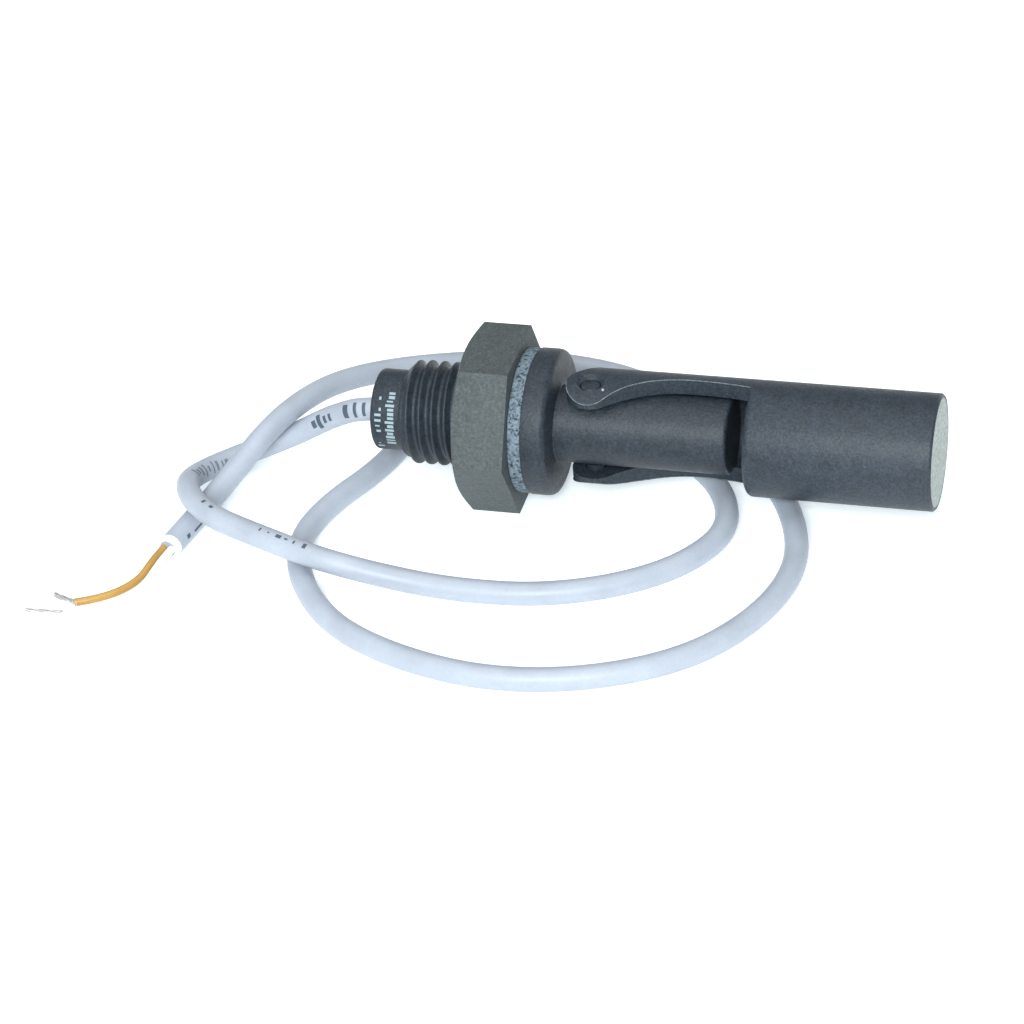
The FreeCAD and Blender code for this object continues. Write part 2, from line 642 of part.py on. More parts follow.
def check_and_export():
    doc.recompute()
    for item in doc.Objects:
        if "Invalid" in item.State or "Error" in item.State:
            raise RuntimeError(f"{item.Label} failed: {item.State}")
    for part in sub_parts:
        if part.Shape.isNull() or not part.Shape.isValid():
            raise RuntimeError(f"{part.Label} has no valid shape")
    os.makedirs("parts", exist_ok=True)
    for part in sub_parts:
        part.Shape.exportStep(f"parts/{part.Label}.step")
        box = part.Shape.BoundBox
        print(f"{part.Label}: {len(part.Shape.Solids)} solid, volume {part.Shape.Volume:.2f}, "
              f"X {box.XMin:.2f} {box.XMax:.2f}, Y {box.YMin:.2f} {box.YMax:.2f}, "
              f"Z {box.ZMin:.2f} {box.ZMax:.2f}")


make_switch_body()
make_hex_nut()
make_sealing_washer()
make_float_shell()
make_float_end_cap()
make_magnet_parts()
make_reed_switch()
make_reed_carrier()
make_inner_wiring()
make_potting_plug()
make_cable()
check_and_export()
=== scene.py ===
import json
import math
import random

import bmesh
import bpy
from bpy.props import FloatProperty, FloatVectorProperty, IntProperty, PointerProperty
from mathutils import Matrix, Vector


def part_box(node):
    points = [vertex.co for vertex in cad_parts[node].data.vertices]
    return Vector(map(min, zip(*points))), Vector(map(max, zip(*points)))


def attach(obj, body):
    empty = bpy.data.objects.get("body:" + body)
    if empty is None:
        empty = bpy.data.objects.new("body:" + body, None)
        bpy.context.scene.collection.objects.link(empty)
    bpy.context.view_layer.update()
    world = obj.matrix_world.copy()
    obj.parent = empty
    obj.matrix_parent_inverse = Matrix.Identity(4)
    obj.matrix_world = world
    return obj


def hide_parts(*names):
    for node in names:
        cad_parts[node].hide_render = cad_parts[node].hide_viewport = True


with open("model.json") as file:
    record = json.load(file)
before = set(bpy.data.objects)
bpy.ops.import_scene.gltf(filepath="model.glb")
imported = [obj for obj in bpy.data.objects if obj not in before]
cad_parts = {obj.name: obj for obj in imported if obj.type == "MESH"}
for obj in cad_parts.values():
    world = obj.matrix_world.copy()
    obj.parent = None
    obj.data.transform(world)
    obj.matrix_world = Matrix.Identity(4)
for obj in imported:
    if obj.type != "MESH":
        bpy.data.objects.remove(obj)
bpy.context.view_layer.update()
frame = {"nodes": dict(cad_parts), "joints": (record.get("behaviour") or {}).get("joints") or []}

bl_info = {
    "name": "Float level switch",
    "version": (1, 0, 0),
    "blender": (4, 5, 0),
    "location": "View3D > Sidebar > Level switch",
    "description": "Dresses the packed model of a side-mounted float level switch",
    "category": "Object",
}

MM = 0.001

# the corners of the main pieces' boxes, in metres; the stem's axis is the X axis
BODY_LOW, BODY_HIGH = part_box("switch_body")
NUT_LOW, NUT_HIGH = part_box("hex_nut")
_, SHELL_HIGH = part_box("float_shell")
PLUG_LOW, PLUG_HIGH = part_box("potting_plug")
HINGE = Vector(frame["joints"][0]["pos_m"])
FLOAT_LENGTH = 28.2 * MM  # from the float's front, where its arms begin, to its far end

# the places in metres that the cable, its cores and their bare tips pass
CABLE_ROUTE = [
    (-0.0194, 0.0, 0.0), (-0.0274, 0.0, 0.0), (-0.0342, 0.0029, -0.0041), (-0.0412, 0.0033, -0.0086),
    (-0.0491, -0.0011, -0.0104), (-0.0534, -0.0084, -0.0092), (-0.0527, -0.0159, -0.0066),
    (-0.0469, -0.0231, -0.0061), (-0.0372, -0.027, -0.0064), (-0.0259, -0.0314, -0.0065),
    (-0.0152, -0.0299, -0.0099), (-0.0049, -0.0302, -0.0107), (0.0068, -0.0296, -0.0107),
    (0.0179, -0.0255, -0.0107), (0.0264, -0.0188, -0.0107), (0.0311, -0.0094, -0.0107),
    (0.0283, 0.0008, -0.0107), (0.021, 0.0091, -0.0107), (0.0117, 0.017, -0.0107),
    (0.002, 0.0243, -0.0107), (-0.0093, 0.027, -0.0107), (-0.0191, 0.0214, -0.0107),
    (-0.0237, 0.0101, -0.0107), (-0.026, -0.0011, -0.0107), (-0.0313, -0.0119, -0.0107),
    (-0.0329, -0.0222, -0.0107), (-0.0289, -0.0325, -0.0107), (-0.021, -0.0418, -0.0107),
    (-0.0093, -0.0476, -0.0107), (0.0044, -0.0504, -0.0107), (0.0186, -0.0482, -0.0107),
    (0.0318, -0.0412, -0.0107), (0.0399, -0.0298, -0.0107), (0.0431, -0.0167, -0.0107),
    (0.0397, -0.0032, -0.0107), (0.0323, 0.0086, -0.0107), (0.022, 0.0204, -0.0107),
    (0.0093, 0.0295, -0.0107), (-0.0049, 0.033, -0.0107), (-0.0196, 0.0314, -0.0107),
    (-0.031, 0.0257, -0.0094), (-0.0375, 0.0159, -0.0062), (-0.0405, 0.0058, -0.0039),
    (-0.0436, -0.002, -0.0046), (-0.0479, -0.0093, -0.0091), (-0.0505, -0.0177, -0.0107),
    (-0.0521, -0.0266, -0.0107),
]
SHEATH_END = Vector(CABLE_ROUTE[-1])
SHEATH_HEADING = (SHEATH_END - Vector(CABLE_ROUTE[-2])).normalized()
ACROSS_CORES = SHEATH_HEADING.cross(Vector((0, 0, 1))).normalized()
BROWN_ROUTE = [(-0.0544, -0.0339, -0.0119), (-0.0581, -0.0387, -0.0119), (-0.0622, -0.0404, -0.0119)]
BROWN_TIP = (-0.0659, -0.0391, -0.0119)
WHITE_ROUTE = [(-0.0531, -0.0357, -0.0119), (-0.0575, -0.0414, -0.0119), (-0.0628, -0.0432, -0.0119)]
WHITE_TIP = (-0.0689, -0.0436, -0.0119)

PRINT_SIDE = Vector((0.25, -0.78, 0.57))  # the side that the print on the cable and the body faces
# the sheath's print: each ink's rows, with a row's beginning, its count of marks, their step, its turn in
# degrees from the print's side, and the lengths and widths of its marks; the lengths are in mm
CABLE_PRINT = (
    ("cable_ticks", (0.060, 0.085, 0.115), (
        (7.6, 3, 1.5, -4, (0.5, 0.9, 1.1), (1.4, 2.2, 2.5)),
        (14.6, 4, 1.2, -2, (0.6, 0.9, 1.1), (1.2, 2.0, 2.3)),
        (57.3, 2, 1.9, -38, (0.5, 0.7), (0.5, 0.7)),
        (69.5, 6, 1.6, -36, (0.3, 0.6, 1.0), (0.3, 0.6, 0.9)),
        (515.5, 1, 1.0, -52, (3.0,), (0.4,)),
        (519.8, 1, 1.0, -44, (0.8,), (0.7,)))),
    ("faint_cable_ticks", (0.17, 0.20, 0.22), (
        (36.5, 9, 1.15, -8, (0.35, 0.5, 0.7), (1.0, 1.6, 2.1)),)),
)


# ---- settings -------------------------------------------------------------------------------------------

class LEVEL_PG_body(bpy.types.PropertyGroup):
    pitch: FloatProperty(name="Thread pitch", description="From one crest to the next",
                         default=2.0 * MM, unit="LENGTH")
    crest_radius: FloatProperty(name="Thread crest radius", description="Radius over the thread's crests",
                                default=8.0 * MM, unit="LENGTH")
    root_radius: FloatProperty(name="Thread root radius", description="Radius at the bottom of the groove",
                               default=7.0 * MM, unit="LENGTH")
    thread_phase: FloatProperty(name="Thread phase", description="From the shoulder to a crest on top",
                                default=1.2 * MM, unit="LENGTH")
    plain_radius: FloatProperty(name="Plain end radius", description="Radius of the unthreaded cable end",
                                default=6.2 * MM, unit="LENGTH")
    plain_length: FloatProperty(name="Plain end length", description="From the cable end to the thread",
                                default=4.7 * MM, unit="LENGTH")
    flange_thickness: FloatProperty(name="Flange thickness", description="From the seat to the stem's side",
                                    default=3.7 * MM, unit="LENGTH")
    stem_radius: FloatProperty(name="Stem radius", description="Radius of the closed tube",
                               default=5.9 * MM, unit="LENGTH")
    pin_radius: FloatProperty(name="Pin radius", description="Radius of the hinge's two pins",
                              default=1.5 * MM, unit="LENGTH")
    pin_reach: FloatProperty(name="Pin reach", description="From the stem's axis to a pin's end",
                             default=8.3 * MM, unit="LENGTH")
    colour: FloatVectorProperty(name="Body colour", description="Colour of the moulded body",
                                default=(0.019, 0.026, 0.035), size=3, subtype="COLOR")
    turn_steps: IntProperty(name="Steps a turn", description="Steps of a full turn", default=96)


class LEVEL_PG_float(bpy.types.PropertyGroup):
    edge: FloatProperty(name="Knuckle edge", description="Rounding of the knuckles and the arm's rim",
                        default=0.6 * MM, unit="LENGTH")
    front_edge: FloatProperty(name="Front edge", description="Rounding of the float's front below its arms",
                              default=1.0 * MM, unit="LENGTH")
    small_edge: FloatProperty(name="Small edge", description="Rounding of the other edges",
                              default=0.15 * MM, unit="LENGTH")
    knuckle_radius: FloatProperty(name="Knuckle radius", description="Radius of the round lobe",
                                  default=3.65 * MM, unit="LENGTH")
    rim_height: FloatProperty(name="Rim height", description="From the stem's axis to the rim's top",
                              default=1.1 * MM, unit="LENGTH")
    rim_sweep: FloatProperty(name="Rim sweep", description="From the hinge to the rim's top",
                             default=15.5 * MM, unit="LENGTH")
    rim_drop: FloatProperty(name="Rim drop", description="Fall of the rim from its top to the front",
                            default=0.8 * MM, unit="LENGTH")
    # painted highlight: the thickness of the bead of much paler plastic laid along the rim, which paints
    # the bright line of light on the rim's edge
    painted_highlight: FloatProperty(name="Flash", description="Thickness of the bead of flash along the rim",
                         default=0.16 * MM, unit="LENGTH")


class LEVEL_PG_cable(bpy.types.PropertyGroup):
    diameter: FloatProperty(name="Sheath diameter", description="Outer diameter of the cable",
                            default=3.6 * MM, unit="LENGTH")
    core_diameter: FloatProperty(name="Core diameter", description="Diameter of an insulated core",
                                 default=1.2 * MM, unit="LENGTH")
    core_spacing: FloatProperty(name="Core spacing", description="Between the two cores' centres",
                                default=1.3 * MM, unit="LENGTH")
    bare_diameter: FloatProperty(name="Bare end diameter", description="Diameter of the tinned strands",
                                 default=0.8 * MM, unit="LENGTH")
    length: FloatProperty(name="Cable length", description="Length of the sheath along its route",
                          default=0.522, unit="LENGTH")
    colour: FloatVectorProperty(name="Sheath colour", description="Colour of the sheath",
                                default=(0.370, 0.402, 0.458), size=3, subtype="COLOR")


class LEVEL_PG_stage(bpy.types.PropertyGroup):
    elevation: FloatProperty(name="Camera elevation", description="Height of the view above the horizon",
                             default=math.radians(34.51), subtype="ANGLE")
    azimuth: FloatProperty(name="Camera azimuth", description="Turn of the view towards the float's end",
                           default=math.radians(17.78), subtype="ANGLE")
    roll: FloatProperty(name="Camera roll", description="Turn of the view about its own line",
                        default=math.radians(-5.313), subtype="ANGLE")
    distance: FloatProperty(name="Camera distance", description="From the flange's seat to the camera",
                            default=0.5173, unit="LENGTH")
    sideways: FloatProperty(name="Seat sideways", description="Right of the view's middle to the seat",
                            default=0.00401, unit="LENGTH")
    upwards: FloatProperty(name="Seat upwards", description="Above the view's middle to the seat",
                           default=0.0139, unit="LENGTH")
    lens: FloatProperty(name="Focal length", description="Focal length on a 36 mm wide sensor",
                        default=119.57)
    floor_colour: FloatVectorProperty(name="Floor colour", description="Colour of the floor",
                                      default=(0.93, 0.93, 0.935), size=3, subtype="COLOR")
    floor_glow: FloatProperty(name="Floor glow", description="Light that the floor gives by itself",
                              default=0.38)


# ---- materials ------------------------------------------------------------------------------------------

class Finish:
    """A material's node tree, written node by node."""

    def __init__(self, name):
        self.material = bpy.data.materials.new(name)
        self.material.use_nodes = True
        self.tree = self.material.node_tree
        self.tree.nodes.clear()
        self.shader = self.node("ShaderNodeBsdfPrincipled")
        output = self.node("ShaderNodeOutputMaterial")
        self.link(self.shader.outputs["BSDF"], output.inputs["Surface"])
        self.place = self.node("ShaderNodeTexCoord").outputs["Object"]

    def node(self, kind, **values):
        made = self.tree.nodes.new(kind)
        for key, value in values.items():
            setattr(made, key, value)
        return made

    def link(self, source, target):
        self.tree.links.new(source, target)

    def set(self, **values):
        for key, value in values.items():
            self.shader.inputs[key.replace("_", " ")].default_value = value

    def noise(self, size, detail=4.0, roughness=0.55):
        """Noise whose blotches are about that many metres across."""
        made = self.node("ShaderNodeTexNoise")
        made.inputs["Scale"].default_value = 1.0 / size
        made.inputs["Detail"].default_value = detail
        made.inputs["Roughness"].default_value = roughness
        self.link(self.place, made.inputs["Vector"])
        return made.outputs["Fac"]

    def ramp(self, source, *stops):
        """Colours from (value, colour) stops."""
        made = self.node("ShaderNodeValToRGB")
        points = made.color_ramp.elements
        while len(points) < len(stops):
            points.new(1.0)
        for point, (position, colour) in zip(points, stops):
            point.position = position
            point.color = (*colour, 1.0)
        self.link(source, made.inputs["Fac"])
        return made.outputs["Color"]

    def spread(self, source, low, high, start=0.3, end=0.7):
        """A value that runs from low to high while the source runs from start to end."""
        made = self.node("ShaderNodeMapRange")
        for key, value in (("From Min", start), ("From Max", end), ("To Min", low), ("To Max", high)):
            made.inputs[key].default_value = value
        self.link(source, made.inputs["Value"])
        return made.outputs["Result"]

    def blend(self, first, second, share, kind="MIX"):
        """Two colours mixed: each is a socket or a plain colour, and the share a socket or a number."""
        made = self.node("ShaderNodeMix", data_type="RGBA", blend_type=kind)
        if isinstance(share, float):
            made.inputs["Factor"].default_value = share
        else:
            self.link(share, made.inputs["Factor"])
        for source, socket in ((first, made.inputs[6]), (second, made.inputs[7])):
            if isinstance(source, tuple):
                socket.default_value = (*source, 1.0)
            else:
                self.link(source, socket)
        return made.outputs[2]

    def bump(self, *layers):
        """Relief from (source, height in metres) layers, one on the other."""
        before = None
        for source, height in layers:
            made = self.node("ShaderNodeBump")
            made.inputs["Strength"].default_value = 1.0
            made.inputs["Distance"].default_value = height
            self.link(source, made.inputs["Height"])
            if before:
                self.link(before, made.inputs["Normal"])
            before = made.outputs["Normal"]
        self.link(before, self.shader.inputs["Normal"])

    def colour(self, source):
        self.link(source, self.shader.inputs["Base Color"])

    def roughness(self, source):
        self.link(source, self.shader.inputs["Roughness"])


def tinted(colour, factor, blue=1.0):
    """A colour made lighter or darker, and bluer on request."""
    return (colour[0] * factor, colour[1] * factor, min(1.0, colour[2] * factor * blue))


def moulded_plastic(name, colour, blotch=1.3 * MM, contrast=0.28, rough=(0.40, 0.56), fleck=0.42, dust=0.0):
    """Matte moulded plastic. blotch is the size of its clouds and contrast their depth, rough its least and
    greatest roughness, fleck the depth of its fine specks and dust the share of pale dust on it."""
    grain = 0.06 * MM  # the height of its fine relief
    finish = Finish(name)
    cloud = finish.noise(blotch, 6.0, 0.62)
    fine = finish.noise(0.38 * MM, 3.0, 0.65)
    shade = finish.ramp(cloud, (0.30, tinted(colour, 1.0 - contrast)), (0.52, colour),
                        (0.75, tinted(colour, 1.0 + contrast * 1.3, 1.05)))
    speck = finish.ramp(fine, (0.35, tinted((1, 1, 1), 1.0 - fleck)), (0.65, (1 + fleck,) * 3))
    shade = finish.blend(shade, speck, 0.9, "MULTIPLY")
    if dust:
        marks = finish.spread(finish.noise(0.7 * MM, 5.0, 0.7), 0.0, dust, 0.62, 0.76)
        shade = finish.blend(shade, tinted(colour, 4.5, 1.05), marks)
    finish.colour(shade)
    finish.roughness(finish.spread(cloud, *rough))
    finish.bump((fine, grain), (cloud, grain * 1.5))
    finish.set(Specular_IOR_Level=0.35)
    return finish.material


def speckled_sheet(name, pale, dark):
    """Fibre sheet: pale and dark specks that stand up a little."""
    finish = Finish(name)
    specks = finish.noise(0.55 * MM, 5.0, 0.75)
    cloud = finish.noise(1.6 * MM, 3.0, 0.5)
    shade = finish.ramp(specks, (0.38, dark), (0.50, tinted(pale, 0.72)), (0.60, pale))
    finish.colour(finish.blend(shade, finish.ramp(cloud, (0.3, (0.82, 0.84, 0.86)), (0.7, (1, 1, 1))),
                               0.7, "MULTIPLY"))
    finish.roughness(finish.spread(specks, 0.92, 0.7))
    finish.bump((specks, 0.05 * MM))
    return finish.material


def smooth_sheath(name, colour, rough=(0.24, 0.36), soft=0.0):
    """Extruded soft plastic: nearly even colour, faint handling marks and a soft gloss. soft is the share
    of light that passes under its skin."""
    finish = Finish(name)
    cloud = finish.noise(6.0 * MM, 4.0, 0.5)
    fine = finish.noise(0.5 * MM, 3.0, 0.6)
    shade = finish.ramp(cloud, (0.3, tinted(colour, 0.90)), (0.7, tinted(colour, 1.06)))
    finish.colour(finish.blend(shade, finish.ramp(fine, (0.3, (0.94, 0.94, 0.95)), (0.6, (1, 1, 1))),
                               0.8, "MULTIPLY"))
    finish.roughness(finish.spread(cloud, *rough))
    finish.bump((fine, 0.006 * MM))
    if soft:
        finish.set(Subsurface_Weight=soft, Subsurface_Radius=(1.2 * MM, 1.1 * MM, 1.0 * MM),
                   Subsurface_Scale=1.0)
    return finish.material


def bare_metal(name, colour, rough=(0.25, 0.45), dull=0.35):
    """Plated or tinned metal, darker in cloudy places by a share of dull."""
    finish = Finish(name)
    cloud = finish.noise(0.9 * MM, 4.0, 0.6)
    finish.colour(finish.ramp(cloud, (0.3, tinted(colour, 1.0 - dull)), (0.65, colour)))
    finish.roughness(finish.spread(cloud, *rough))
    finish.bump((finish.noise(0.15 * MM, 2.0), 0.004 * MM))
    finish.set(Metallic=1.0)
    return finish.material


def clear_glass(name, colour):
    """Tinted glass that light passes through."""
    finish = Finish(name)
    ripple = finish.noise(1.5 * MM, 2.0)
    finish.colour(finish.ramp(ripple, (0.3, tinted(colour, 0.92)), (0.7, colour)))
    finish.roughness(finish.spread(ripple, 0.02, 0.06))
    finish.set(Transmission_Weight=1.0, IOR=1.5)
    return finish.material


def cast_resin(name, colour):
    """Glossy resin, poured and set with a slightly uneven face."""
    finish = Finish(name)
    cloud = finish.noise(1.8 * MM, 3.0)
    finish.colour(finish.ramp(cloud, (0.3, tinted(colour, 0.7)), (0.7, tinted(colour, 1.3))))
    finish.roughness(finish.spread(cloud, 0.12, 0.3))
    finish.bump((cloud, 0.05 * MM))
    return finish.material


# ---- mesh tools -----------------------------------------------------------------------------------------

MERGE = 0.002 * MM  # vertices nearer than this become one
FLAT = math.radians(0.6)  # faces that meet at less than this become one
TO_X = Matrix.Rotation(math.radians(90.0), 4, "Y")  # turns what stands along Z to lie along X


def close_and_orient(shape):
    """Close a shape's seams and point its faces outwards."""
    bmesh.ops.remove_doubles(shape, verts=shape.verts, dist=MERGE)
    bmesh.ops.recalc_face_normals(shape, faces=shape.faces)


def edges_among(vertices):
    """The edges that join some vertices, in the vertices' order."""
    return list(dict.fromkeys(edge for vertex in vertices for edge in vertex.link_edges
                              if edge.other_vert(vertex) in vertices))


def aim(shape, start, heading):
    """Turn a shape made along X to a heading and move its origin to a start."""
    turn = heading.to_track_quat("X", "Z").to_matrix().to_4x4()
    bmesh.ops.transform(shape, matrix=Matrix.Translation(start) @ turn, verts=shape.verts)


def mesh_piece(mesh, name, body, slot, material, smooth_angle=35.0, replaces=()):
    """Make a mesh a piece of the object that rides on a body."""
    mesh.name = name
    mesh.materials.clear()
    mesh.materials.append(material)
    piece = bpy.data.objects.new(name, mesh)
    bpy.context.scene.collection.objects.link(piece)
    for face in mesh.polygons:
        face.use_smooth = True
    mesh.set_sharp_from_angle(angle=math.radians(smooth_angle))
    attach(piece, body)
    if replaces:
        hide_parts(*replaces)
    return piece


def finish_piece(shape, name, *values, **more):
    """The same for a bmesh, which is freed."""
    mesh = bpy.data.meshes.new(name)
    shape.to_mesh(mesh)
    shape.free()
    return mesh_piece(mesh, name, *values, **more)


def turned(shape, profile, steps, closed=True):
    """Spin a profile of (place along X, radius) points about the X axis."""
    points = [shape.verts.new((along, 0.0, radius)) for along, radius in profile]
    pairs = list(zip(points, points[1:]))
    if closed:
        pairs.append((points[-1], points[0]))
    edges = [shape.edges.new(pair) for pair in pairs]
    bmesh.ops.spin(shape, geom=points + edges, cent=(0, 0, 0), axis=(1, 0, 0), angle=math.tau,
                   steps=steps, use_merge=True, use_duplicate=False)


def scale_radius(vertex, share):
    """Move a vertex towards the X axis or away from it."""
    vertex.co.y *= share
    vertex.co.z *= share


def rounded(corners, steps=4):
    """A profile with its corners rounded: each is (place, radius, how much it is rounded)."""
    out = []
    for index, (along, height, radius) in enumerate(corners):
        here = Vector((along, height))
        if not radius:
            out.append(tuple(here))
            continue
        before = Vector(corners[index - 1][:2]) - here
        after = Vector(corners[(index + 1) % len(corners)][:2]) - here
        start = here + before.normalized() * min(radius, before.length * 0.48)
        end = here + after.normalized() * min(radius, after.length * 0.48)
        for step in range(steps + 1):
            share = step / steps
            out.append(tuple(start.lerp(here, share).lerp(here.lerp(end, share), share)))
    return out


def softened_copy(node, name, body, slot, material, edge, angle=30.0, segments=3, weigh=None, larger=None):
    """A copy of a CAD node whose edges are rounded, as a moulding's are. weigh gives an edge's share of the
    rounding from its two ends. larger is a test of one end and a radius: an edge whose ends both pass is
    rounded by that radius before the rest."""
    shape = bmesh.new()
    shape.from_mesh(frame["nodes"][node].data)
    bmesh.ops.remove_doubles(shape, verts=shape.verts, dist=MERGE)
    bmesh.ops.dissolve_limit(shape, angle_limit=FLAT, verts=shape.verts, edges=shape.edges)
    sharp = math.radians(angle)
    if larger:
        passes, radius = larger
        chosen = [line for line in shape.edges if line.calc_face_angle(0.0) > sharp
                  and all(passes(vertex.co) for vertex in line.verts)]
        bmesh.ops.bevel(shape, geom=chosen, offset=radius, offset_type="OFFSET", affect="EDGES",
                        segments=6, profile=0.5, material=-1)
    if weigh:
        weights = shape.edges.layers.float.new("bevel_weight_edge")
        for line in shape.edges:
            if line.calc_face_angle(0.0) > sharp:
                line[weights] = weigh(*(vertex.co for vertex in line.verts))
    piece = finish_piece(shape, name, body, slot, material, replaces=(node,))
    bevel = piece.modifiers.new("edges", "BEVEL")
    bevel.width = edge
    bevel.segments = segments
    bevel.limit_method = "WEIGHT" if weigh else "ANGLE"
    bevel.angle_limit = sharp
    bevel.use_clamp_overlap = True
    bevel.harden_normals = True
    return piece


class Guide:
    """A line to lay marks along."""

    def __init__(self, points):
        self.points = points
        self.reach = [0.0]
        for first, second in zip(points, points[1:]):
            self.reach.append(self.reach[-1] + (second - first).length)

    def at(self, distance):
        """The place, the level side and the upright at a distance along the line."""
        index = next((i for i, reach in enumerate(self.reach) if reach > distance), len(self.reach) - 1)
        first, second = self.points[index - 1], self.points[index]
        span = self.reach[index] - self.reach[index - 1]
        place = first.lerp(second, (distance - self.reach[index - 1]) / span)
        heading = (second - first).normalized()
        side = heading.cross(Vector((0, 0, 1))).normalized()
        return place, side, side.cross(heading)

    def facing(self, distance, towards):
        """The angle round the line at which its surface faces a direction."""
        _, side, up = self.at(distance)
        return math.atan2(side.dot(towards), up.dot(towards))


def lay_tick(shape, guide, radius, start, length, angle, width, lift=0.02 * MM, steps=8):
    """One flat mark of ink that follows a round surface: along the guide and round it."""
    sheet = bmesh.ops.create_grid(shape, x_segments=steps, y_segments=steps, size=0.5)["verts"]
    for vertex in sheet:
        place, side, up = guide.at(start + (vertex.co.x + 0.5) * length)
        turn = angle + vertex.co.y * width / radius
        out = up * math.cos(turn) + side * math.sin(turn)
        vertex.co = place + out * (radius + lift)


# ---- the cable ------------------------------------------------------------------------------------------

def lay_cord(name, route, diameter, material, slot, replaces=(), body="housing"):
    """A round tube along one smooth spline whose control points are its route. Returns the piece and the
    points of its centreline."""
    data = bpy.data.curves.new(name, "CURVE")
    data.dimensions = "3D"
    spline = data.splines.new("NURBS")
    spline.points.add(len(route) - 1)
    for point, place in zip(spline.points, route):
        point.co = (*place, 1.0)
    spline.order_u = 3
    spline.use_endpoint_u = True
    spline.resolution_u = 12
    data.bevel_resolution = 7
    data.use_fill_caps = True
    curve = bpy.data.objects.new(name + "_spline", data)
    bpy.context.scene.collection.objects.link(curve)
    made = []
    for depth in (0.0, diameter / 2):
        data.bevel_depth = depth
        bpy.context.view_layer.update()
        made.append(bpy.data.meshes.new_from_object(
            curve.evaluated_get(bpy.context.evaluated_depsgraph_get())))
    line, tube = made
    centreline = [vertex.co.copy() for vertex in line.vertices]
    bpy.data.meshes.remove(line)
    bpy.data.objects.remove(curve)
    bpy.data.curves.remove(data)
    piece = mesh_piece(tube, name, body, slot, material, 50.0, replaces)
    return piece, centreline


def strand_bundle(name, start, end, diameter, material, replaces):
    """Tinned strands twisted together, six round a middle one, splayed a little at the far end."""
    around, sides, steps = 6, 8, 28
    twist = math.tau * 0.45
    splay = 0.18
    strand = diameter / 3  # three stand side by side across the bundle
    length = (end - start).length
    shape = bmesh.new()
    for index in range(around + 1):
        ring = bmesh.ops.create_circle(shape, segments=sides, radius=strand / 2, cap_ends=False)["verts"]
        bmesh.ops.transform(shape, matrix=TO_X, verts=ring)
        if index:
            lean = Matrix.Rotation(index * math.tau / around, 4, "X") @ Matrix.Translation((0, 0, strand))
            bmesh.ops.transform(shape, matrix=lean, verts=ring)
        bmesh.ops.spin(shape, geom=ring + edges_among(ring), cent=(0, 0, 0), axis=(1, 0, 0), angle=twist,
                       dvec=(length / steps, 0, 0), steps=steps, use_merge=False, use_duplicate=False)
    loose = [edge for edge in shape.edges if edge.is_boundary]
    bmesh.ops.holes_fill(shape, edges=loose, sides=sides)
    for vertex in shape.verts:
        scale_radius(vertex, 1.0 + splay * (vertex.co.x / length) ** 3)
    bmesh.ops.recalc_face_normals(shape, faces=shape.faces)
    aim(shape, start, end - start)
    return finish_piece(shape, name, "housing", "tinned_copper", material, 60.0, replaces)


